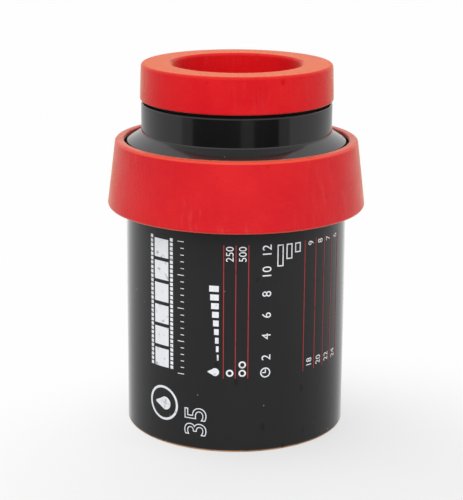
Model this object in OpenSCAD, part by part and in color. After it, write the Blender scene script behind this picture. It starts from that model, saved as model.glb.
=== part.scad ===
// Film developing canister: a light-tight tank with a snap-on lid, a pour cap,
// a centre column and two twist-loading spiral reels. Millimetres, +Z up,
// origin at the middle of the base. The pouring neck points up.

/* [Film and reels] */
// Width of the film that the reels are set to
film_w = 35; // [30:0.5:46]
// Free width beside the film
film_play = 0.4; // [0.2:0.1:1]
// Distance between neighbouring turns of the film spiral
spiral_pitch = 1.6; // [1.5:0.05:2.6]
// Thickness of the spiral rail
rail_t = 0.7; // [0.6:0.05:0.8]
// Height of the spiral rail above the spokes
rail_h = 1.6; // [1:0.1:2.2]
// Thickness of the reel spokes and rim
spoke_t = 1.6; // [1.2:0.1:2.4]
// Width of a reel spoke
spoke_w = 2.4; // [1.8:0.1:4]
// Spokes on each reel half
spoke_n = 8; // [6:1:12]
// Width of the flat rim round a reel half
reel_rim_w = 1.4; // [1:0.1:2.5]
// Wall of each of the two telescoping hub sleeves
sleeve_wall = 1.7; // [1.4:0.1:2]
// Length of the lip that leads the film in, along the rim
mouth_l = 12; // [6:1:20]
// Reach of that lip beyond the rim
mouth_reach = 0.4; // [0.2:0.1:0.8]
// Twist of one reel half each way from the middle, in degrees
twist_deg = 15; // [8:1:20]

/* [Film stop] */
// Width of the tab that keeps a second film from running into the first
stop_w = 5; // [4:0.5:6]
// Length of that tab
stop_l = 6; // [5:0.5:7]
// Travel of the tab towards the hub
stop_travel = 2.4; // [1.5:0.1:2.4]
// Reach of the tab's tongue on each side
tongue_w = 1; // [0.6:0.1:1.2]
// Wall round the tab's pocket
pocket_wall = 1.2; // [0.8:0.1:1.6]
// Thickness of the pocket's lips and roof
pocket_skin = 0.4; // [0.3:0.05:0.45]
// Side of the pin that blocks the film's channel
pin_w = 1.2; // [0.8:0.1:1.6]

/* [Tank] */
// Outer diameter of the barrel
tank_d = 82; // [78:0.5:92]
// Wall of the barrel
tank_wall = 2.2; // [1.6:0.1:3]
// Thickness of the floor
floor_t = 2.2; // [1.6:0.1:3]
// Height of the hollow under the floor
base_recess = 1.5; // [1:0.1:3]
// Width of the ring that the tank stands on
foot_ring_w = 5; // [3:0.5:8]
// Free height between the upper reel and the tank's rim
headspace = 14.3; // [13:0.1:25]
// Free space between a reel and the barrel
reel_play = 3.2; // [2:0.1:5]

/* [Centre column] */
// Outer diameter of the column
column_d = 24.8; // [24:0.2:26]
// Wall of the column
column_wall = 1.8; // [1.4:0.1:2.2]
// How far the plate that carries the reels stays inside their rim
plate_inset = 5.6; // [3:0.2:12]
// Thickness of that plate
plate_t = 2; // [1.5:0.1:3]
// Height of the flow space under the plate
flow_h = 5.8; // [5:0.1:9]
// Distance of the column's top below the tank's rim
column_drop = 4; // [3:0.1:5]
// Flow ports in the foot of the column
port_n = 4; // [3:1:6]
// Width of a flow port
port_w = 8; // [5:0.5:9]
// Fins under the plate
fin_n = 6; // [4:1:8]
// Thickness of a fin
fin_t = 1.6; // [1.2:0.1:2.4]

/* [Reel clip] */
// Height of the clip that holds the reels down
clip_h = 4; // [3:0.2:5]
// Wall of the clip
clip_wall = 3; // [2:0.1:4]
// Opening of the clip, in degrees
clip_gap_deg = 70; // [50:5:100]
// Length of a finger ear on the clip
ear_l = 7; // [4:0.5:9]

/* [Lid] */
// Width of the sloped shoulder between the neck and the barrel's edge
shoulder_w = 5.45; // [3:0.05:7]
// Height of the neck's bright wall
neck_h = 10.7; // [9:0.1:16]
// Wall of the lid
lid_wall = 2.2; // [1.8:0.1:2.6]
// Height of the neck's foot above the tank's rim
shoulder_rise = 6.9; // [5:0.1:8]
// Height of the shoulder's outer edge above the tank's rim
shoulder_edge = 3.9; // [3.4:0.1:4.5]
// Set-back of the shoulder's edge from the barrel
shoulder_inset = 0.4; // [0.2:0.1:1]
// Depth of the skirt that plugs into the tank
plug_h = 7; // [5:0.5:9]
// Thickness of the rim that the clamp ring holds
bead_t = 2; // [1.5:0.1:2.4]
// Reach of that rim beyond the barrel
bead_w = 1.6; // [1:0.1:1.8]
// Height of the spigot under the cap
spigot_h = 10.2; // [9:0.1:14]
// Set-back of the spigot from the neck
spigot_inset = 1.65; // [1.4:0.05:2]

/* [Light trap funnel] */
// Wall of the funnel
funnel_wall = 1.8; // [1.4:0.1:2.2]
// Thickness of the funnel's rim
funnel_rim_t = 1.5; // [1:0.1:2]
// Free height between the cap's floor and the cone
cone_gap = 1.8; // [1:0.1:3]
// Drop of the cone
cone_drop = 9.5; // [6:0.5:11]
// Free space between the stem and the column's bore
stem_play = 1.8; // [0.8:0.1:2.5]
// Length of the stem inside the column
stem_overlap = 9; // [6:0.5:20]

/* [Clamp ring] */
// Gap for the fingertips between the barrel and the ring's skirt
finger_gap = 4.05; // [3.5:0.05:6]
// Height of the ring
ring_h = 25; // [22:0.2:30]
// Height of the ring's top above the tank's rim
ring_rise = 4.2; // [3.8:0.1:6]
// How much the ring narrows towards its top, on each side
ring_taper = 2.8; // [1:0.05:3]
// Wall of the ring's skirt
skirt_wall = 2.7; // [2:0.1:3]
// Depth of the solid collar that grips the tank
collar_h = 14.5; // [10:0.5:16]
// Width of the open joint round the shoulder
shoulder_joint = 1; // [0.8:0.1:1.5]

/* [Pour cap] */
// Wall of the cap round the spigot
cap_wall = 1.75; // [1.5:0.05:2.5]
// Narrowing of the cap towards its top, on each side
cap_taper = 0.35; // [0:0.05:0.6]
// Thickness of the cap's top
cap_top_t = 2.4; // [1.8:0.1:3]
// Open joint between the cap and the neck
cap_joint = 1.1; // [0.8:0.1:2.4]
// Free space between the cap's plug and the funnel
plug_play = 3; // [1:0.1:6]
// Depth of the recess
recess_depth = 17.5; // [12:0.5:18]
// Wall of the recess and its floor
recess_wall = 2.2; // [1.6:0.1:2.6]

/* [Fits and edges] */
// Gap between pieces that rest on each other
seat_gap = 0.3; // [0.2:0.05:0.4]
// Gap between the reels
reel_gap = 0.4; // [0.3:0.05:0.8]
// Running clearance of sleeves and column, on the radius
run_fit = 0.3; // [0.2:0.05:0.4]
// Clearance round the film stop
stop_fit = 0.1; // [0.05:0.05:0.15]
// Clearance between the column and its foot, on the radius
foot_fit = 0.05; // [0.02:0.01:0.1]
// Clearance between ring and barrel, on the radius
ring_fit = 0.15; // [0.1:0.05:0.3]
// Radius of the soft moulded edges
edge_r = 1.2; // [0.6:0.1:1.4]
// Radius of the hard moulded edges
hard_r = 0.6; // [0.3:0.1:0.8]

/* [Hidden] */
$fn = 96;

// Overlap that joins the solids of one piece
bite = 0.4;
// Steps of a rounded edge
arc_n = 5;

tank_red = "#d9282d";
gloss_black = "#1d1d1f";
reel_white = "#e6e3da";

// Tank radii and heights
tank_r = tank_d / 2;
tank_in_r = tank_r - tank_wall;
floor_z = base_recess + floor_t;

// Column
column_r = column_d / 2;
column_in_r = column_r - column_wall;
column_foot_z = floor_z + seat_gap;
plate_z = column_foot_z + flow_h;
peg_r = column_in_r - run_fit;
peg_z = floor_z + flow_h / 2;
foot_bore_r = column_r + foot_fit;
foot_collar_r = foot_bore_r + fin_t;

// Reels
reel_r = tank_in_r - reel_play;
plate_r = reel_r - plate_inset;
inner_sleeve_in_r = column_r + run_fit;
inner_sleeve_r = inner_sleeve_in_r + sleeve_wall;
outer_sleeve_in_r = inner_sleeve_r + run_fit;
outer_sleeve_r = outer_sleeve_in_r + sleeve_wall;
reel_h = film_w + film_play + 2 * spoke_t;
boss_h = spoke_t + rail_h;
reel_1_z = plate_z + plate_t + seat_gap;
reel_2_z = reel_1_z + reel_h + reel_gap;
spiral_start_r = outer_sleeve_r + spiral_pitch / 2;
spiral_end_r = reel_r - reel_rim_w - rail_t;
half_turns = floor((spiral_end_r - spiral_start_r) / (spiral_pitch / 2));
// The sleeves of the two halves overlap by two thirds of the film's width
outer_sleeve_h = boss_h + film_w * 2 / 3;
lug_h = 3;
lug_deg = 20;
lug_z = outer_sleeve_h - 2 * lug_h;
// Free angle beside a lug at the end of its twist
lug_play_deg = 1.5;
mouth_deg = mouth_l / (PI * reel_r) * 180;
mouth_h = boss_h + rail_h / 2;

// Film stop, between two spokes
stop_deg = 360 / spoke_n;
pocket_r = reel_r - reel_rim_w - bite;
pocket_l = stop_l + stop_travel + 2 * stop_fit;
pocket_w = stop_w + 2 * tongue_w;

// Clip
clip_z = reel_2_z + reel_h + seat_gap;
clip_in_r = column_r + run_fit / 2;
clip_r = clip_in_r + clip_wall;

// Lid
rim_z = reel_2_z + reel_h + headspace;
column_top_z = rim_z - column_drop;
shoulder_r = tank_r - shoulder_inset;
neck_r = shoulder_r - shoulder_w;
neck_z = rim_z + shoulder_rise;
neck_top_z = neck_z + neck_h;
spigot_r = neck_r - spigot_inset;
spigot_top_z = neck_top_z + spigot_h;
neck_bore_r = spigot_r - lid_wall;
bead_r = tank_r + bead_w;
plug_r = tank_in_r - seat_gap;

// Funnel's cup
cup_r = neck_bore_r - seat_gap;
cup_in_r = cup_r - funnel_wall;

// Cap
funnel_top_z = spigot_top_z + funnel_rim_t;
cap_in_r = spigot_r + seat_gap;
cap_r = cap_in_r + cap_wall;
cap_foot_z = neck_top_z + cap_joint;
cap_roof_z = funnel_top_z + seat_gap;
cap_top_z = cap_roof_z + cap_top_t;
cap_plug_r = cup_in_r - plug_play;
recess_r = cap_plug_r - recess_wall;
recess_z = cap_top_z - recess_depth;
cap_floor_z = recess_z - recess_wall;

// Funnel's cone and stem
cone_z = cap_floor_z - cone_gap;
stem_r = column_in_r - stem_play;
stem_in_r = stem_r - funnel_wall;
stem_z = column_top_z - stem_overlap;

// Ring
skirt_in_r = tank_r + finger_gap;
ring_r = skirt_in_r + skirt_wall;
ring_top_z = rim_z + ring_rise;
ring_foot_z = ring_top_z - ring_h;
ring_top_r = ring_r - ring_taper;
ring_in_r = tank_r + ring_fit;
collar_z = ring_top_z - collar_h;
lip_r = shoulder_r + shoulder_joint;

echo(height = cap_top_z, rim = rim_z, half_turns = half_turns);

// Points of an arc about a centre, from one angle to another
function arc(c, r, a0, a1) =
    [for (i = [0:arc_n])
        let (a = a0 + (a1 - a0) * i / arc_n)
        [c[0] + r * cos(a), c[1] + r * sin(a)]];

module revolve(points) {
    rotate_extrude() polygon(points);
}

module tube(r_in, r_out, h) {
    difference() {
        cylinder(r = r_out, h = h);
        translate([0, 0, -1]) cylinder(r = r_in, h = h + 2);
    }
}

// A slice of a tube between two angles
module tube_slice(r_in, r_out, h, from_deg, to_deg) {
    rotate([0, 0, from_deg])
        rotate_extrude(angle = to_deg - from_deg)
            translate([r_in, 0])
                square([r_out - r_in, h]);
}

module tank_body() {
    foot_in_r = tank_r - foot_ring_w;
    color(gloss_black)
        revolve(concat(
            [[foot_in_r, base_recess], [foot_in_r, 0]],
            arc([tank_r - hard_r, hard_r], hard_r, -90, 0),
            arc([tank_r - hard_r, rim_z - hard_r], hard_r, 0, 90),
            [[tank_in_r + hard_r, rim_z], [tank_in_r, rim_z - hard_r]],
            arc([tank_in_r - edge_r, floor_z + edge_r], edge_r, 0, -90),
            [
                [peg_r, floor_z], [peg_r, peg_z - hard_r], [peg_r - hard_r, peg_z], [0, peg_z],
                [0, peg_z - floor_t], [peg_r - floor_t, peg_z - floor_t], [peg_r - floor_t, base_recess]
            ]
        ));
}

module lid_shell() {
    plug_in_r = plug_r - lid_wall;
    edge_z = rim_z + shoulder_edge;
    slope = atan2(neck_z - edge_z, shoulder_r - neck_r);
    color(gloss_black)
        revolve(concat(
            [
                [plug_in_r, rim_z - plug_h], [plug_r - hard_r, rim_z - plug_h],
                [plug_r, rim_z - plug_h + hard_r], [plug_r, rim_z],
                [bead_r, rim_z], [bead_r, rim_z + bead_t], [shoulder_r, rim_z + bead_t]
            ],
            arc([shoulder_r - hard_r, edge_z - hard_r], hard_r, 0, 90 - slope),
            [
                [neck_r + hard_r / 2, neck_z - hard_r / 2 * tan(slope)],
                [neck_r, neck_z + hard_r / 2]
            ],
            arc([neck_r - hard_r, neck_top_z - hard_r], hard_r, 0, 90),
            [
                [spigot_r, neck_top_z], [spigot_r, spigot_top_z], [neck_bore_r, spigot_top_z],
                [neck_bore_r, neck_z + lid_wall], [neck_r - lid_wall, neck_z],
                [plug_in_r, edge_z - lid_wall]
            ]
        ));
}

module light_trap_funnel() {
    cone_foot_z = cone_z - cone_drop;
    color(gloss_black)
        revolve([
            [cup_in_r, funnel_top_z], [spigot_r, funnel_top_z], [spigot_r, spigot_top_z],
            [cup_r, spigot_top_z], [cup_r, cone_z - funnel_wall], [stem_r, cone_foot_z - funnel_wall],
            [stem_r, stem_z], [stem_in_r, stem_z], [stem_in_r, cone_foot_z], [cup_in_r, cone_z]
        ]);
}

module clamp_ring() {
    groove_r = bead_r + seat_gap;
    groove_top_z = rim_z + bead_t + seat_gap;
    taper = ring_taper / ring_h;
    collar_r = skirt_in_r - taper * (collar_z - ring_foot_z);
    color(tank_red)
        revolve(concat(
            [
                [ring_in_r, collar_z + hard_r], [ring_in_r, rim_z - seat_gap],
                [groove_r, rim_z - seat_gap], [groove_r, groove_top_z],
                [lip_r, groove_top_z + (groove_r - lip_r) / 2]
            ],
            arc([lip_r + hard_r, ring_top_z - hard_r], hard_r, 180, 90),
            arc([ring_top_r - edge_r, ring_top_z - edge_r], edge_r, 90, 0),
            arc([ring_r - edge_r, ring_foot_z + edge_r], edge_r, 0, -90),
            arc([skirt_in_r + hard_r, ring_foot_z + hard_r], hard_r, -90, -180),
            [[collar_r, collar_z - hard_r], [collar_r - hard_r, collar_z], [ring_in_r + hard_r, collar_z]]
        ));
}

module pour_cap() {
    top_r = cap_r - cap_taper;
    color(tank_red)
        revolve(concat(
            [[0, cap_floor_z], [cap_plug_r - edge_r, cap_floor_z], [cap_plug_r, cap_floor_z + edge_r]],
            [[cap_plug_r, cap_roof_z], [cap_in_r, cap_roof_z], [cap_in_r, cap_foot_z]],
            arc([cap_r - hard_r, cap_foot_z + hard_r], hard_r, -90, 0),
            arc([top_r - edge_r, cap_top_z - edge_r], edge_r, 0, 90),
            arc([recess_r + edge_r, cap_top_z - edge_r], edge_r, 90, 180),
            arc([recess_r - edge_r, recess_z + edge_r], edge_r, 0, -90),
            [[0, recess_z]]
        ));
}

// Cutters for the ports where the liquid leaves the column
module flow_ports() {
    for (i = [0:port_n - 1])
        rotate([0, 0, i * 360 / port_n])
            translate([0, -port_w / 2, column_foot_z - 1])
                cube([foot_collar_r + 1, port_w, flow_h - fin_t / 2 + 1]);
}

module centre_column() {
    color(gloss_black)
        difference() {
            translate([0, 0, column_foot_z])
                tube(column_in_r, column_r, column_top_z - column_foot_z);
            flow_ports();
        }
}

// Plate under the reels, on fins that leave the liquid free to flow
module column_foot() {
    color(gloss_black)
        difference() {
            union() {
                translate([0, 0, column_foot_z])
                    tube(foot_bore_r, foot_collar_r, flow_h + plate_t);
                translate([0, 0, plate_z])
                    tube(foot_bore_r, plate_r, plate_t);
                for (i = [0:fin_n - 1])
                    rotate([0, 0, (i + 0.5) * 360 / fin_n])
                        translate([foot_collar_r - bite, -fin_t / 2, column_foot_z])
                            cube([plate_r - foot_collar_r - fin_t, fin_t, flow_h + bite]);
            }
            flow_ports();
        }
}

module reel_clip() {
    half_gap = clip_gap_deg / 2;
    color(tank_red)
        translate([0, 0, clip_z])
            union() {
                tube_slice(clip_in_r, clip_r, clip_h, half_gap, 360 - half_gap);
                for (side = [-1, 1])
                    rotate([0, 0, side * half_gap])
                        translate([clip_in_r, -clip_wall * (1 + side) / 2 + side * clip_wall, 0])
                            cube([clip_wall + ear_l, clip_wall, clip_h]);
            }
}

// Film rail: half circles about two centres half a pitch apart, so that each
// turn runs one pitch further out than the last
module spiral_rail() {
    for (k = [0:half_turns - 1])
        let (r = spiral_start_r + k * spiral_pitch / 2)
        translate([k % 2 == 0 ? 0 : spiral_pitch / 2, 0, spoke_t - bite])
            tube_slice(r, r + rail_t, rail_h + bite, (k % 2) * 180, (k % 2) * 180 + 180);
}

// Lip that leads the film into the spiral
module film_mouth() {
    tube_slice(reel_r - reel_rim_w / 2, reel_r + mouth_reach, mouth_h, -mouth_deg, 0);
}

// Block in the plane of the spokes that the film stop slides in
module stop_block() {
    block_l = pocket_l + pocket_wall + reel_rim_w / 2 + bite;
    block_w = pocket_w + 2 * pocket_wall;
    rotate([0, 0, stop_deg])
        translate([pocket_r - pocket_l - pocket_wall, -block_w / 2, 0])
            cube([block_l, block_w, spoke_t]);
}

// Cutter for the pocket: open to the outer face, with a slot for the pin
module stop_pocket() {
    slot_l = stop_travel + pin_w + 4 * stop_fit;
    slot_w = pin_w + 4 * stop_fit;
    slot_r = pocket_r - stop_fit - stop_l / 2 + pin_w / 2 + 2 * stop_fit;
    rotate([0, 0, stop_deg]) {
        translate([pocket_r - pocket_l, -stop_w / 2, -1])
            cube([pocket_l, stop_w, 1 + spoke_t / 2]);
        translate([pocket_r - pocket_l, -pocket_w / 2, pocket_skin])
            cube([pocket_l, pocket_w, spoke_t - 2 * pocket_skin]);
        translate([slot_r - slot_l, -slot_w / 2, spoke_t / 2])
            cube([slot_l, slot_w, boss_h]);
    }
}

// One side of a reel, lying on its outer face with the rails up
module reel_side() {
    tube(inner_sleeve_in_r, outer_sleeve_r, boss_h);
    tube(reel_r - reel_rim_w, reel_r, spoke_t);
    for (i = [0:spoke_n - 1])
        rotate([0, 0, (i + 0.5) * 360 / spoke_n])
            translate([outer_sleeve_r - bite, -spoke_w / 2, 0])
                cube([reel_r - reel_rim_w / 2 - outer_sleeve_r + bite, spoke_w, spoke_t]);
    spiral_rail();
    film_mouth();
}

// Half with the outer sleeve, whose two windows hold the lugs of the other half
module reel_lower(z) {
    window_deg = lug_deg + 2 * (twist_deg + lug_play_deg);
    color(reel_white)
        translate([0, 0, z])
            difference() {
                union() {
                    reel_side();
                    translate([0, 0, boss_h - bite])
                        tube(outer_sleeve_in_r, outer_sleeve_r, outer_sleeve_h - boss_h + bite);
                }
                for (turn = [0, 180])
                    translate([0, 0, lug_z - seat_gap])
                        tube_slice(
                            outer_sleeve_in_r - 1, outer_sleeve_r + 1, lug_h + 2 * seat_gap,
                            turn + 90 - window_deg / 2, turn + 90 + window_deg / 2
                        );
            }
}

// Half with the inner sleeve, turned over so that its rails face the other half
module reel_upper(z) {
    sleeve_z = boss_h + seat_gap;
    color(reel_white)
        translate([0, 0, z])
            union() {
                translate([0, 0, reel_h])
                    mirror([0, 0, 1])
                        difference() {
                            union() {
                                reel_side();
                                stop_block();
                            }
                            stop_pocket();
                        }
                translate([0, 0, sleeve_z])
                    tube(inner_sleeve_in_r, inner_sleeve_r, reel_h - boss_h - sleeve_z + bite);
                for (turn = [0, 180])
                    translate([0, 0, lug_z])
                        tube_slice(
                            inner_sleeve_r - bite, outer_sleeve_r - seat_gap, lug_h,
                            turn + 90 - lug_deg / 2, turn + 90 + lug_deg / 2
                        );
            }
}

// Tab with a pin, which slides towards the hub and shuts the film's channel
module reel_stop(z) {
    tab_r = pocket_r - stop_fit - stop_l;
    grip_w = stop_w - 2 * stop_fit;
    base_w = pocket_w - 2 * stop_fit;
    base_t = spoke_t - 2 * pocket_skin - 2 * stop_fit;
    groove_w = stop_l / 12;
    color(tank_red)
        translate([0, 0, z + reel_h])
            mirror([0, 0, 1])
                rotate([0, 0, stop_deg])
                    translate([tab_r, 0, 0])
                        difference() {
                            union() {
                                translate([0, -grip_w / 2, stop_fit])
                                    cube([stop_l, grip_w, spoke_t / 2]);
                                translate([0, -base_w / 2, pocket_skin + stop_fit])
                                    cube([stop_l, base_w, base_t]);
                                translate([(stop_l - pin_w) / 2, -pin_w / 2, spoke_t / 2])
                                    cube([pin_w, pin_w, boss_h - spoke_t / 2 - pocket_skin]);
                            }
                            for (i = [1:5])
                                translate([(i * 2 - 0.5) * groove_w, -grip_w, -1])
                                    cube([groove_w, 2 * grip_w, 1 + pocket_skin]);
                        }
}

tank_body();
lid_shell();
light_trap_funnel();
clamp_ring();
pour_cap();
centre_column();
column_foot();
reel_clip();
reel_lower(reel_1_z);  // reel_1_lower
reel_upper(reel_1_z);  // reel_1_upper
reel_stop(reel_1_z);  // reel_1_stop
reel_lower(reel_2_z);  // reel_2_lower
reel_upper(reel_2_z);  // reel_2_upper
reel_stop(reel_2_z);  // reel_2_stop
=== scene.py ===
import math

import bmesh
import bpy
from mathutils import Matrix, Vector


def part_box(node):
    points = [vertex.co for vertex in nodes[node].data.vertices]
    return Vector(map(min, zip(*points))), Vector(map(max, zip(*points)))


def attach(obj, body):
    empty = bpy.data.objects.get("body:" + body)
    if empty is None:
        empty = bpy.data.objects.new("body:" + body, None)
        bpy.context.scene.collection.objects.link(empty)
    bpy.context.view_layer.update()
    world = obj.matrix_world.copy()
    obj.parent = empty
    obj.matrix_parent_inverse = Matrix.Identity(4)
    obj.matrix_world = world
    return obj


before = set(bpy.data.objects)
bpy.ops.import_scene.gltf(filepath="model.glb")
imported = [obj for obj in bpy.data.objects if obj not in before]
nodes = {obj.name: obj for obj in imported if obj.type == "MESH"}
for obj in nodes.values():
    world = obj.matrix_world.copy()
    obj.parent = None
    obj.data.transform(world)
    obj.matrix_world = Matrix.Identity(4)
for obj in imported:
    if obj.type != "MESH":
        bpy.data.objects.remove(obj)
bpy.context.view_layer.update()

scene = bpy.context.scene

# Sizes in metres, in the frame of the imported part
MM = 0.001
BARREL_R = 41.0 * MM
NECK_TOP = 121.6 * MM
EYE_AWAY = 572.75 * MM
EYE_HIGH = 221.3 * MM

# The print lies just off the barrel and bends round it in short steps
INK_LIFT = 0.05 * MM
INK_STEP = 1.0 * MM

# The cards that reflections see lie just off the floor
CARD_LIFT = 0.3 * MM

# Colours, linear
BLACK = (0.0075, 0.0075, 0.0085, 1)
BLACK_DEEP = (0.0035, 0.0035, 0.0040, 1)
SATIN = (0.0275, 0.0275, 0.0285, 1)
SATIN_DEEP = (0.0225, 0.0225, 0.0235, 1)
# Painted reflection of a warm floor, along the barrel's foot
WARM_FLOOR_REFLECTION = (0.50, 0.27, 0.13, 1)
DUST = (0.30, 0.30, 0.29, 1)
RED = (0.650, 0.0035, 0.0110, 1)
RED_LIGHT = (0.710, 0.0100, 0.0135, 1)
RED_WET = (0.610, 0.0010, 0.0060, 1)
# Pale scuff colour, also used for painted highlights and painted light on the red tops
RED_SCUFF_AND_HIGHLIGHT = (1.000, 0.1900, 0.0850, 1)
RED_PALE = (0.780, 0.1700, 0.1500, 1)
BLOOM = (1.0, 0.76, 0.50, 1)
REEL = (0.740, 0.710, 0.650, 1)
REEL_SHADE = (0.650, 0.615, 0.540, 1)
WHITE_INK = (0.850, 0.870, 0.900, 1)
WORN_INK = (0.420, 0.430, 0.450, 1)
RED_INK = (0.420, 0.0280, 0.0300, 1)
RED_INK_WORN = (0.220, 0.0200, 0.0220, 1)
FLOOR_DARK = (0.86, 0.86, 0.865, 1)
FLOOR_LIGHT = (0.89, 0.89, 0.895, 1)
FLOOR_GLOW = (0.99, 0.99, 0.99, 1)
WHITE = (1, 1, 1, 1)

PLASTIC_IOR = 1.5

# Most of a noise lies between these two values
NOISE_LOW = 0.3
NOISE_HIGH = 0.7


class Shader:
    """A node material under construction, on object coordinates in metres."""

    def __init__(self, name):
        self.material = bpy.data.materials.new(name)
        self.material.use_nodes = True
        self.tree = self.material.node_tree
        self.bsdf = self.tree.nodes["Principled BSDF"]
        self.coords = self.tree.nodes.new("ShaderNodeTexCoord").outputs["Object"]

    def link(self, value, socket):
        """Wires a socket to another one, or sets it to a constant."""
        if isinstance(value, bpy.types.NodeSocket):
            self.tree.links.new(value, socket)
        else:
            socket.default_value = value

    def stretch(self, upright):
        """Coordinates with the height scaled, so that marks run up and down."""
        node = self.tree.nodes.new("ShaderNodeMapping")
        node.inputs["Scale"].default_value = (1.0, 1.0, upright)
        self.tree.links.new(self.coords, node.inputs["Vector"])
        return node.outputs["Vector"]

    def noise(self, scale, detail=3.0, rough=0.55, vector=None):
        node = self.tree.nodes.new("ShaderNodeTexNoise")
        node.inputs["Scale"].default_value = scale
        node.inputs["Detail"].default_value = detail
        node.inputs["Roughness"].default_value = rough
        self.tree.links.new(vector or self.coords, node.inputs["Vector"])
        return node.outputs["Fac"]

    def specks(self, scale, size, share, vector=None):
        """One dot in some cells of a random grid: 1 on a dot, 0 elsewhere."""
        full_share = 0.4
        cell = self.tree.nodes.new("ShaderNodeTexVoronoi")
        cell.inputs["Scale"].default_value = scale
        self.tree.links.new(vector or self.coords, cell.inputs["Vector"])
        dot = self.ramp(cell.outputs["Distance"], low=size, high=size * full_share)
        split = self.tree.nodes.new("ShaderNodeSeparateColor")
        self.tree.links.new(cell.outputs["Color"], split.inputs["Color"])
        chosen = self.math("LESS_THAN", split.outputs["Red"], share)
        return self.math("MULTIPLY", dot, chosen)

    def math(self, operation, a, b=0.0):
        node = self.tree.nodes.new("ShaderNodeMath")
        node.operation = operation
        self.link(a, node.inputs[0])
        self.link(b, node.inputs[1])
        return node.outputs[0]

    def ramp(self, value, low, high, to_low=0.0, to_high=1.0):
        """A smooth step from to_low at low to to_high at high, which may lie below low."""
        rising = low < high
        node = self.tree.nodes.new("ShaderNodeMapRange")
        node.interpolation_type = "SMOOTHSTEP"
        self.link(value, node.inputs["Value"])
        node.inputs["From Min"].default_value = min(low, high)
        node.inputs["From Max"].default_value = max(low, high)
        node.inputs["To Min"].default_value = to_low if rising else to_high
        node.inputs["To Max"].default_value = to_high if rising else to_low
        return node.outputs["Result"]

    def spread(self, noise, to_low=0.0, to_high=1.0):
        """Spreads a noise over a range of values."""
        return self.ramp(noise, NOISE_LOW, NOISE_HIGH, to_low, to_high)

    def mix(self, factor, a, b):
        factor_in, first_in, second_in, colour_out = 0, 6, 7, 2
        node = self.tree.nodes.new("ShaderNodeMix")
        node.data_type = "RGBA"
        self.link(factor, node.inputs[factor_in])
        self.link(a, node.inputs[first_in])
        self.link(b, node.inputs[second_in])
        return node.outputs[colour_out]

    def height(self):
        split = self.tree.nodes.new("ShaderNodeSeparateXYZ")
        self.tree.links.new(self.coords, split.inputs["Vector"])
        return split.outputs["Z"]

    def upward(self):
        """How far the surface faces up: 1 on a level face, 0 on an upright one."""
        geometry = self.tree.nodes.new("ShaderNodeNewGeometry")
        split = self.tree.nodes.new("ShaderNodeSeparateXYZ")
        self.tree.links.new(geometry.outputs["Normal"], split.inputs["Vector"])
        return split.outputs["Z"]

    def bump(self, value, strength, distance):
        node = self.tree.nodes.new("ShaderNodeBump")
        node.inputs["Strength"].default_value = strength
        node.inputs["Distance"].default_value = distance
        self.tree.links.new(value, node.inputs["Height"])
        self.tree.links.new(node.outputs["Normal"], self.bsdf.inputs["Normal"])

    def set(self, **sockets):
        for name, value in sockets.items():
            self.link(value, self.bsdf.inputs[name.replace("_", " ")])


def barrel_black():
    """Satin black of the barrel, with faint smears, drops, dust, and a painted warm reflection
    along the foot.
    """
    drop_depth = 0.35
    s = Shader("barrel_black")
    smear = s.noise(scale=38.0, detail=4.0, rough=0.6, vector=s.stretch(0.35))
    tone = s.mix(smear, SATIN_DEEP, SATIN)
    # Painted reflection: a thin warm line along the foot, in patches
    foot = s.ramp(s.height(), low=0.85 * MM, high=0.45 * MM)
    foot_reflection = s.math("MULTIPLY", foot, s.ramp(s.noise(scale=160.0), low=0.20, high=0.50))
    tone = s.mix(foot_reflection, tone, WARM_FLOOR_REFLECTION)
    drops = s.specks(scale=140.0, size=0.16, share=0.60, vector=s.stretch(0.6))
    tone = s.mix(s.math("MULTIPLY", drops, drop_depth), tone, BLACK_DEEP)
    tone = s.mix(s.specks(scale=210.0, size=0.060, share=0.45), tone, DUST)
    gloss = s.ramp(smear, low=0.25, high=0.75, to_low=0.12, to_high=0.18)
    s.set(Base_Color=tone, Roughness=gloss, IOR=PLASTIC_IOR)
    s.bump(s.noise(scale=900.0, detail=2.0), strength=0.05, distance=0.2 * MM)
    return s.material


def neck_black():
    """Polished black of the lid, with wiping marks, and a film of dust where it faces up."""
    s = Shader("neck_black")
    wipe = s.noise(scale=60.0, detail=3.0, rough=0.6, vector=s.stretch(0.2))
    tone = s.mix(wipe, BLACK_DEEP, BLACK)
    tone = s.mix(s.ramp(s.upward(), low=0.25, high=0.70, to_high=0.045), tone, DUST)
    tone = s.mix(s.specks(scale=230.0, size=0.05, share=0.12), tone, DUST)
    gloss = s.ramp(wipe, low=0.3, high=0.75, to_low=0.08, to_high=0.16)
    s.set(Base_Color=tone, Roughness=gloss, IOR=PLASTIC_IOR)
    s.bump(s.noise(scale=700.0, detail=2.0), strength=0.03, distance=0.1 * MM)
    return s.material


def inner_black():
    """Moulded black of the pieces inside, a little duller."""
    s = Shader("inner_black")
    grain = s.noise(scale=120.0, detail=4.0)
    gloss = s.spread(grain, to_low=0.28, to_high=0.42)
    s.set(Base_Color=s.mix(grain, BLACK_DEEP, BLACK), Roughness=gloss, IOR=PLASTIC_IOR)
    s.bump(s.noise(scale=1400.0, detail=2.0), strength=0.08, distance=0.1 * MM)
    return s.material


def seat_black():
    """Unpolished black of the seat under the cap, which throws little light back: its reflection is
    turned down to paint the shade in the gap between cap and neck.
    """
    s = Shader("seat_black")
    grain = s.noise(scale=140.0, detail=3.0)
    gloss = s.spread(grain, to_low=0.40, to_high=0.55)
    s.set(Base_Color=s.mix(grain, BLACK_DEEP, BLACK), Roughness=gloss, IOR=PLASTIC_IOR)
    s.set(Specular_IOR_Level=0.12)
    return s.material


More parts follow.
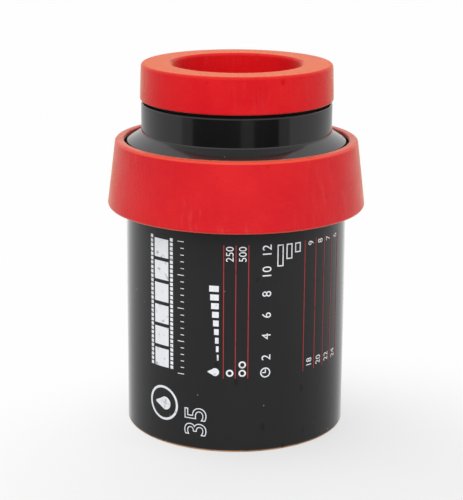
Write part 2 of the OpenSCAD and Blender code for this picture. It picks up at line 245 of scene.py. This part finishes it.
def soft_red(name, piece, scuffed, edge_highlight_share, chalk_and_top_light, rim_dull, bloom, shine):
    """Soft red plastic: mottled, with wet spots, scuffed patches, edges paled by a painted
    highlight, and a rim paled by wear and painted light on top.
    """
    low_edge, high_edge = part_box(piece)[0][2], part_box(piece)[1][2]
    wet_gloss, chalk_and_light_spread = 0.12, 0.4
    s = Shader(name)
    tone = s.mix(s.spread(s.noise(scale=42.0, detail=5.0, rough=0.6)), RED, RED_LIGHT)
    spots = s.specks(scale=150.0, size=0.18, share=0.80, vector=s.stretch(0.7))
    tone = s.mix(spots, tone, RED_WET)

    patches = s.ramp(s.noise(scale=26.0, detail=2.0), low=0.46, high=0.64)
    streaks = s.noise(scale=420.0, detail=4.0, rough=0.65, vector=s.stretch(0.22))
    streaks = s.ramp(streaks, low=0.48, high=0.74, to_high=scuffed)
    tone = s.mix(s.math("MULTIPLY", patches, streaks), tone, RED_PALE)

    # Painted highlight: the lower edge is paled towards the pale scuff colour
    lip = s.ramp(s.height(), low=low_edge + 1.0 * MM, high=low_edge + 0.4 * MM, to_high=0.18)
    # Painted highlight: rounded edges that lean up, but not level faces, are paled
    leaning = s.ramp(s.upward(), low=0.20, high=0.60)
    not_level = s.ramp(s.upward(), low=0.97, high=0.85)
    edge_highlight = s.math("MULTIPLY", s.math("MULTIPLY", leaning, not_level), edge_highlight_share)
    # The level rim on top is paled in a fine grain: part chalky wear, part painted light and
    # reflection on the top
    rim = s.ramp(s.height(), low=high_edge - 3.0 * MM, high=high_edge - 1.0 * MM)
    rim = s.math("MULTIPLY", rim, s.ramp(s.upward(), low=0.86, high=0.99))
    grain = s.spread(
        s.noise(scale=1000.0, detail=2.0),
        to_low=(1 - chalk_and_light_spread) * chalk_and_top_light, to_high=(1 + chalk_and_light_spread) * chalk_and_top_light,
    )
    top_chalk_and_light = s.math("MULTIPLY", rim, grain)
    # Wear and painted highlight together: the largest of the three masks pales the red
    worn = s.math("MAXIMUM", lip, s.math("MAXIMUM", edge_highlight, top_chalk_and_light))
    tone = s.mix(worn, tone, RED_SCUFF_AND_HIGHLIGHT)

    gloss = s.spread(s.noise(scale=70.0, detail=4.0), to_low=0.36, to_high=0.48)
    gloss = s.math("ADD", gloss, s.math("MULTIPLY", rim, rim_dull))
    gloss = s.math("SUBTRACT", gloss, s.math("MULTIPLY", spots, wet_gloss))
    s.set(Base_Color=tone, Roughness=gloss, IOR=PLASTIC_IOR)
    s.set(Specular_IOR_Level=shine, Sheen_Weight=bloom, Sheen_Roughness=0.28, Sheen_Tint=BLOOM)
    s.bump(s.noise(scale=1500.0, detail=3.0), strength=0.60, distance=0.3 * MM)
    return s.material


def reel_white():
    """Off-white reel plastic that lets a little light through."""
    s = Shader("reel_white")
    tone = s.mix(s.spread(s.noise(scale=50.0, detail=4.0)), REEL_SHADE, REEL)
    gloss = s.spread(s.noise(scale=90.0), to_low=0.34, to_high=0.46)
    s.set(Base_Color=tone, Roughness=gloss, IOR=PLASTIC_IOR)
    s.set(Subsurface_Weight=0.12, Subsurface_Scale=2.0 * MM)
    s.bump(s.noise(scale=1300.0, detail=2.0), strength=0.08, distance=0.1 * MM)
    return s.material


def ink(name, fresh, worn):
    """Screen print with a grain and thin places."""
    s = Shader(name)
    tone = s.mix(s.ramp(s.noise(scale=420.0, detail=3.0), low=0.56, high=0.72), fresh, worn)
    gloss = s.spread(s.noise(scale=200.0), to_low=0.38, to_high=0.5)
    s.set(Base_Color=tone, Roughness=gloss, IOR=PLASTIC_IOR)
    return s.material


def paint(name, material):
    mesh = nodes[name].data
    mesh.materials.clear()
    mesh.materials.append(material)
    for face in mesh.polygons:
        face.material_index = 0


def paint_above(name, material, height):
    """Gives the faces of a node above a height a second material."""
    mesh = nodes[name].data
    mesh.materials.append(material)
    for face in mesh.polygons:
        if face.center.z > height:
            face.material_index = 1


# Materials of the solids
dull_black = inner_black()
ring_red = soft_red(
    "ring_red", "clamp_ring",
    scuffed=0.17, edge_highlight_share=0.38, chalk_and_top_light=0.36, rim_dull=-0.10, bloom=0.62, shine=0.25,
)
cap_red = soft_red(
    "cap_red", "pour_cap",
    scuffed=0.06, edge_highlight_share=0.06, chalk_and_top_light=0.62, rim_dull=0.32, bloom=0.80, shine=0.12,
)
small_red = soft_red(
    "small_red", "reel_clip",
    scuffed=0.0, edge_highlight_share=0.09, chalk_and_top_light=0.09, rim_dull=0.0, bloom=0.42, shine=0.25,
)
reel_finish = reel_white()
paint("tank_body", barrel_black())
paint("lid_shell", neck_black())
# Painted shade: the seat under the cap reflects little, so the gap under the cap shows dark
paint_above("lid_shell", seat_black(), NECK_TOP)
paint("light_trap_funnel", dull_black)
paint("centre_column", dull_black)
paint("column_foot", dull_black)
paint("clamp_ring", ring_red)
paint("pour_cap", cap_red)
paint("reel_clip", small_red)
for reel in ("reel_1", "reel_2"):
    paint(reel + "_lower", reel_finish)
    paint(reel + "_upper", reel_finish)
    paint(reel + "_stop", small_red)


class Print:
    """Flat artwork in millimetres of arc length and height, which is then wrapped on the barrel."""

    # Height of a figure over the nominal size of its font
    FIGURE_SHARE = 0.70

    def __init__(self, name, material, lift=INK_LIFT):
        self.name = name
        self.material = material
        self.lift = lift
        self.bm = bmesh.new()

    def polygon(self, points):
        self.bm.faces.new([self.bm.verts.new((x * MM, z * MM, 0)) for x, z in points])

    def bar(self, x0, z0, x1, z1):
        self.polygon([(x0, z0), (x1, z0), (x1, z1), (x0, z1)])

    def disc(self, x, z, r, hole=0.0, sides=48):
        turns = [2 * math.pi * i / sides for i in range(sides)]
        ring = [(math.cos(turn), math.sin(turn)) for turn in turns]
        if not hole:
            self.polygon([(x + r * c, z + r * q) for c, q in ring])
            return
        for i in range(sides):
            (c0, q0), (c1, q1) = ring[i], ring[(i + 1) % sides]
            self.polygon([
                (x + hole * c0, z + hole * q0), (x + r * c0, z + r * q0),
                (x + r * c1, z + r * q1), (x + hole * c1, z + hole * q1),
            ])

    def drop(self, x, z, r):
        """A drop whose tip points towards -x, which is up for whoever reads the figures."""
        sides = 40
        tip_reach, tip_power = 0.85, 5
        waist_loss, waist_power = 0.25, 2
        points = []
        for i in range(sides):
            turn = 2 * math.pi * i / sides
            to_tip = max(0.0, -math.cos(turn))
            reach = r * (1 + tip_reach * to_tip ** tip_power)
            width = 1 - waist_loss * to_tip ** waist_power
            points.append((x + reach * math.cos(turn), z + r * math.sin(turn) * width))
        self.polygon(points)

    def frame(self, x0, z0, x1, z1, line):
        self.bar(x0, z0, x1, z0 + line)
        self.bar(x0, z1 - line, x1, z1)
        self.bar(x0, z0 + line, x0 + line, z1 - line)
        self.bar(x1 - line, z0 + line, x1, z1 - line)

    def film(self, x0, z0, x1, z1, frames):
        """A strip of film: two rows of square holes beside a row of pictures."""
        hole, margin, window_gap, holes_each = 1.25, 0.75, 1.3, 5
        pitch = (z1 - z0) / frames
        step = pitch / holes_each
        for i in range(frames * holes_each):
            low = z0 + i * step
            self.bar(x0, low, x0 + hole, low + hole)
            self.bar(x1 - hole, low, x1, low + hole)
        for i in range(frames):
            low = z0 + i * pitch
            self.bar(x0 + hole + margin, low, x1 - hole - margin, low + pitch - window_gap)

    def number(self, text, x, z, size, align="LEFT", grow=0.0):
        """Plain figures that read upwards, with their feet on the line x."""
        curve = bpy.data.curves.new("figures", "FONT")
        curve.body = text
        curve.size = size * MM / self.FIGURE_SHARE
        curve.align_x = align
        curve.offset = grow * MM
        curve.resolution_u = 6
        holder = bpy.data.objects.new("figures", curve)
        scene.collection.objects.link(holder)
        bpy.context.view_layer.update()
        drawn = holder.evaluated_get(bpy.context.evaluated_depsgraph_get())
        mesh = bpy.data.meshes.new_from_object(drawn)
        place = Matrix.Translation((x * MM, z * MM, 0))
        mesh.transform(place @ Matrix.Rotation(math.pi / 2, 4, "Z"))
        self.bm.from_mesh(mesh)
        bpy.data.meshes.remove(mesh)
        bpy.data.objects.remove(holder)
        bpy.data.curves.remove(curve)

    def wrap(self):
        bm = self.bm
        bmesh.ops.triangulate(bm, faces=[f for f in bm.faces if len(f.verts) > 4])
        first = math.ceil(min(v.co.x for v in bm.verts) / INK_STEP)
        last = math.floor(max(v.co.x for v in bm.verts) / INK_STEP)
        for k in range(first, last + 1):
            bmesh.ops.bisect_plane(
                bm, geom=bm.verts[:] + bm.edges[:] + bm.faces[:],
                plane_co=(k * INK_STEP, 0, 0), plane_no=(1, 0, 0),
            )
        radius = BARREL_R + self.lift
        for v in bm.verts:
            turn = v.co.x / BARREL_R
            v.co = Vector((radius * math.sin(turn), -radius * math.cos(turn), v.co.y))
        bm.normal_update()
        mesh = bpy.data.meshes.new(self.name)
        bm.to_mesh(mesh)
        bm.free()
        for face in mesh.polygons:
            face.use_smooth = True
        mesh.materials.append(self.material)
        piece = bpy.data.objects.new(self.name, mesh)
        scene.collection.objects.link(piece)
        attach(piece, "tank")


# Print on the barrel: a film strip, a drop, plain figures and ruled tables.
# Its places are millimetres along the arc from the front, and in height.
PRINT_LOW = 28.4
PRINT_HIGH = 77.8
FIGURES_HIGH = 77.4
white_ink = ink("white_ink", WHITE_INK, WORN_INK)
red_ink = ink("red_ink", RED_INK, RED_INK_WORN)

motif = Print("print_film_strip", white_ink)
motif.film(x0=-34.2, z0=29.5, x1=-23.6, z1=78.8, frames=6)
motif.wrap()

badge = Print("print_drop_badge", white_ink)
badge.disc(x=-28.2, z=15.6, r=6.6, hole=5.7)
badge.drop(x=-27.4, z=15.6, r=2.5)
badge.wrap()

figures = Print("print_figures", white_ink)
OUTLINED = {"text": "35", "x": -10.6, "z": 5.0, "size": 8.2}
figures.number(**OUTLINED, grow=0.22)

# A scale beside the film strip
SCALE_X, SCALE_STEPS, LONG_EVERY = -19.0, 20, 5
LONG_TICK, SHORT_TICK, TICK_HALF = 2.6, 1.4, 0.14
for i in range(SCALE_STEPS + 1):
    tick_z = PRINT_LOW + (PRINT_HIGH - PRINT_LOW) * i / SCALE_STEPS
    tick = SHORT_TICK if i % LONG_EVERY else LONG_TICK
    figures.bar(SCALE_X - tick, tick_z - TICK_HALF, SCALE_X, tick_z + TICK_HALF)

# A gauge of bars that grow, after a drop
GAUGE_X, GAUGE_LOW, GAUGE_STEP, GAUGE_BARS = -5.9, 35.0, 3.2, 9
GAUGE_LENGTH, GAUGE_WIDTH, GAUGE_GROWTH = 2.2, 0.6, 0.36
figures.drop(x=-7.2, z=30.6, r=1.5)
for i in range(GAUGE_BARS):
    low = GAUGE_LOW + GAUGE_STEP * i
    figures.bar(GAUGE_X - GAUGE_WIDTH - GAUGE_GROWTH * i, low, GAUGE_X, low + GAUGE_LENGTH)

# Fills for one reel and for two
for x, z in ((-1.9, 30.4), (2.6, 30.4), (2.6, 33.6)):
    figures.disc(x, z, r=1.35, hole=0.75)
for amount, x in (("250", -0.75), ("500", 3.8)):
    figures.number(amount, x, FIGURES_HIGH, size=2.7, align="RIGHT")

# A clock face with its minutes
MINUTE_X, MINUTE_LOW, MINUTE_STEP = 12.8, 36.0, 7.9
figures.disc(x=11.0, z=30.3, r=1.9, hole=1.45)
figures.bar(10.8, 30.1, 11.2, 31.5)
figures.bar(9.9, 30.1, 11.0, 30.5)
for i, minute in enumerate(("2", "4", "6", "8", "10", "12")):
    figures.number(minute, MINUTE_X, MINUTE_LOW + MINUTE_STEP * i, size=3.3, align="CENTER")

# Picture sizes, from long to short
PICTURE_X, PICTURE_STEP, PICTURE_WIDTH = 15.0, 3.5, 2.4
for i, length in enumerate((8.0, 5.6, 3.6)):
    left = PICTURE_X + PICTURE_STEP * i
    figures.frame(left, FIGURES_HIGH - length, left + PICTURE_WIDTH, FIGURES_HIGH, line=0.42)

# A table of degrees and minutes
TABLE_LOW, TABLE_HIGH, TABLE_SIZE = 29.6, 77.2, 2.5
for x, low, high in ((30.4, "18", "9"), (35.2, "20", "8"), (39.9, "22", "7"), (44.8, "24", "6")):
    figures.number(low, x, TABLE_LOW, TABLE_SIZE)
    figures.number(high, x, TABLE_HIGH, TABLE_SIZE, align="RIGHT")
figures.wrap()

hollow = Print("print_hollow", ink("black_ink", BLACK, BLACK_DEEP), 2 * INK_LIFT)
hollow.number(**OUTLINED, grow=-0.16)
hollow.wrap()

RULE_HALF = 0.16
rules = Print("print_rules", red_ink)
for x in (-4.2, 0.1, 4.6, 26.4, 31.7, 36.4, 41.1, 46.0):
    rules.bar(x - RULE_HALF, PRINT_LOW, x + RULE_HALF, PRINT_HIGH)
rules.wrap()


def camera():
    """Camera fitted to the edges in the photograph."""
    focal_px, long_px, sensor_mm = 1574.4, 500.0, 36.0
    down, yaw, roll = math.radians(15.27), math.radians(-0.1616), math.radians(0.353)
    level = math.cos(down)
    ahead = Vector((math.sin(yaw) * level, math.cos(yaw) * level, -math.sin(down)))
    right = ahead.cross(Vector((0, 0, 1))).normalized()
    up = right.cross(ahead)
    tilted_right = math.cos(roll) * right + math.sin(roll) * up
    tilted_up = math.cos(roll) * up - math.sin(roll) * right
    data = bpy.data.cameras.new("camera")
    data.sensor_width = sensor_mm
    data.lens = focal_px * sensor_mm / long_px
    data.clip_start = 0.01
    data.clip_end = 20.0
    obj = bpy.data.objects.new("camera", data)
    axes = Matrix((tilted_right, tilted_up, -ahead)).transposed()
    obj.matrix_world = Matrix.Translation((0, -EYE_AWAY, EYE_HIGH)) @ axes.to_4x4()
    scene.collection.objects.link(obj)
    scene.camera = obj


def softbox(name, place, target, size, watts):
    """A wide lamp that lights the object and that reflections don't see."""
    data = bpy.data.lights.new(name, "AREA")
    data.shape = "RECTANGLE"
    data.size, data.size_y = size
    data.energy = watts
    obj = bpy.data.objects.new(name, data)
    obj.location = place
    obj.rotation_mode = "QUATERNION"
    obj.rotation_quaternion = (Vector(target) - Vector(place)).to_track_quat("-Z", "Y")
    obj.visible_glossy = False
    scene.collection.objects.link(obj)


def stage_mesh(name, points, faces, material):
    mesh = bpy.data.meshes.new(name)
    mesh.from_pydata(points, [], faces)
    mesh.materials.append(material)
    obj = bpy.data.objects.new(name, mesh)
    scene.collection.objects.link(obj)
    return obj


def sheet(name, corners, material):
    return stage_mesh(name, corners, [tuple(range(len(corners)))], material)


def only_mirrored(card):
    """Only reflections see the card: it casts no shadow and sheds no light."""
    card.visible_camera = False
    card.visible_diffuse = False
    card.visible_shadow = False


def stored_glow(name, attribute):
    """A plain glow of the level that is stored in the mesh."""
    material = bpy.data.materials.new(name)
    material.use_nodes = True
    tree = material.node_tree
    glow = tree.nodes.new("ShaderNodeEmission")
    stored = tree.nodes.new("ShaderNodeAttribute")
    stored.attribute_name = attribute
    tree.links.new(stored.outputs["Fac"], glow.inputs["Strength"])
    tree.links.new(glow.outputs["Emission"], tree.nodes["Material Output"].inputs["Surface"])
    return material


def barrel_card(eye):
    """What the barrel mirrors from the floor: dark in front, lighter to both sides and far out."""
    half, reach, steps = math.radians(84), 0.40, 56
    dark, light_near, light_far, power = 0.09, 1.08, 2.00, 2.7
    foot_r = 1.006 * BARREL_R
    lift = Vector((0, 0, CARD_LIFT))
    points, levels, faces = [], [], []
    for i in range(steps + 1):
        facing = half * (2 * i / steps - 1)
        outward = Vector((math.sin(facing), -math.cos(facing), 0))
        foot = foot_r * outward
        look = (foot - eye).normalized()
        bounce = look - 2 * look.dot(outward) * outward
        points += [foot + lift, foot + reach * bounce + lift]
        aside = abs(facing / half) ** power
        levels += [dark + (light_near - dark) * aside, dark + (light_far - dark) * aside]
        if i:
            faces.append((2 * i - 2, 2 * i - 1, 2 * i + 1, 2 * i))
    card = stage_mesh("barrel_card", points, faces, stored_glow("barrel_card", "level"))
    stored = card.data.attributes.new("level", "FLOAT", "POINT")
    stored.data.foreach_set("value", levels)
    only_mirrored(card)


def card_paint(name, grey):
    """Matt paper of one grey, a little uneven."""
    uneven = 0.1
    s = Shader(name)
    darker = (grey * (1 - uneven),) * 3 + (1,)
    lighter = (grey * (1 + uneven),) * 3 + (1,)
    s.set(Base_Color=s.mix(s.noise(scale=5.0), darker, lighter), Roughness=0.9)
    return s.material


def flag(name, low_deg, high_deg, material):
    """A card on the floor in front, between two bearings, which only reflections see."""
    near, far, steps = 0.40, 1.7, 12
    bearings = [low_deg + (high_deg - low_deg) * i / steps for i in range(steps + 1)]
    angles = [math.radians(bearing) for bearing in bearings]
    ring = [(near * math.sin(a), -near * math.cos(a), CARD_LIFT) for a in angles]
    ring += [(far * math.sin(a), -far * math.cos(a), CARD_LIFT) for a in reversed(angles)]
    only_mirrored(sheet(name, ring, material))


def whiten(floor):
    """Painted light for the eye only: the floor glows out to plain white, least round a point to
    the front right of the object.
    """
    middle, near, far, near_share = (0.035, -0.10, 0), 0.05, 0.18, 0.38
    tree = floor.tree
    away = tree.nodes.new("ShaderNodeVectorMath")
    away.operation = "DISTANCE"
    away.inputs[1].default_value = middle
    tree.links.new(floor.coords, away.inputs[0])
    white_share = floor.ramp(away.outputs["Value"], low=near, high=far, to_low=near_share)
    rays = tree.nodes.new("ShaderNodeLightPath")
    seen = floor.math("MULTIPLY", white_share, rays.outputs["Is Camera Ray"])
    glow = tree.nodes.new("ShaderNodeEmission")
    glow.inputs["Color"].default_value = FLOOR_GLOW
    blend = tree.nodes.new("ShaderNodeMixShader")
    tree.links.new(seen, blend.inputs["Fac"])
    tree.links.new(floor.bsdf.outputs["BSDF"], blend.inputs[1])
    tree.links.new(glow.outputs["Emission"], blend.inputs[2])
    tree.links.new(blend.outputs["Shader"], tree.nodes["Material Output"].inputs["Surface"])


def lay_floor():
    reach = 4.0
    floor = Shader("floor")
    shade = floor.mix(floor.noise(scale=3.0, detail=2.0), FLOOR_DARK, FLOOR_LIGHT)
    floor.set(Base_Color=shade, Roughness=0.7, Specular_IOR_Level=0.1)
    whiten(floor)
    corners = [(-reach, -reach, 0), (reach, -reach, 0), (reach, reach, 0), (-reach, reach, 0)]
    sheet("floor", corners, floor.material)


def lay_cards():
    """What the black pieces mirror: the barrel's own card, and cards in front for the neck."""
    barrel_card(Vector((0, -EYE_AWAY, 0)))
    black = card_paint("black_card", 0.025)
    edge = card_paint("edge_card", 0.45)
    flag("card_left", -52, 5, black)
    flag("card_slit", 5, 20, card_paint("slit_card", 0.30))
    flag("card_right", 20, 50, black)
    flag("card_edge_left", -66, -52, edge)
    flag("card_edge_right", 50, 64, edge)


def surround():
    """A white surround for the eye and for reflections, which lights the object less."""
    as_light, as_seen = 0.56, 1.0
    world = bpy.data.worlds.new("surround")
    scene.world = world
    world.use_nodes = True
    tree = world.node_tree
    back = tree.nodes["Background"]
    back.inputs["Color"].default_value = WHITE
    rays = tree.nodes.new("ShaderNodeLightPath")
    seen = rays.outputs["Is Camera Ray"]
    for ray in ("Is Glossy Ray", "Is Transmission Ray"):
        either = tree.nodes.new("ShaderNodeMath")
        either.operation = "MAXIMUM"
        tree.links.new(seen, either.inputs[0])
        tree.links.new(rays.outputs[ray], either.inputs[1])
        seen = either.outputs[0]
    level = tree.nodes.new("ShaderNodeMapRange")
    level.inputs["To Min"].default_value = as_light
    level.inputs["To Max"].default_value = as_seen
    tree.links.new(seen, level.inputs["Value"])
    tree.links.new(level.outputs["Result"], back.inputs["Strength"])


def lamps():
    middle = (0, 0, 0.07)
    softbox("overhead", place=(-0.15, -0.45, 1.3), target=middle, size=(1.2, 1.2), watts=7.6)
    softbox("front", place=(0.1, -1.6, 0.9), target=middle, size=(1.2, 0.9), watts=8.6)


for node in nodes.values():
    for face in node.data.polygons:
        face.use_smooth = True
camera()
lay_floor()
lay_cards()
surround()
lamps()
scene.view_settings.view_transform = "Standard"
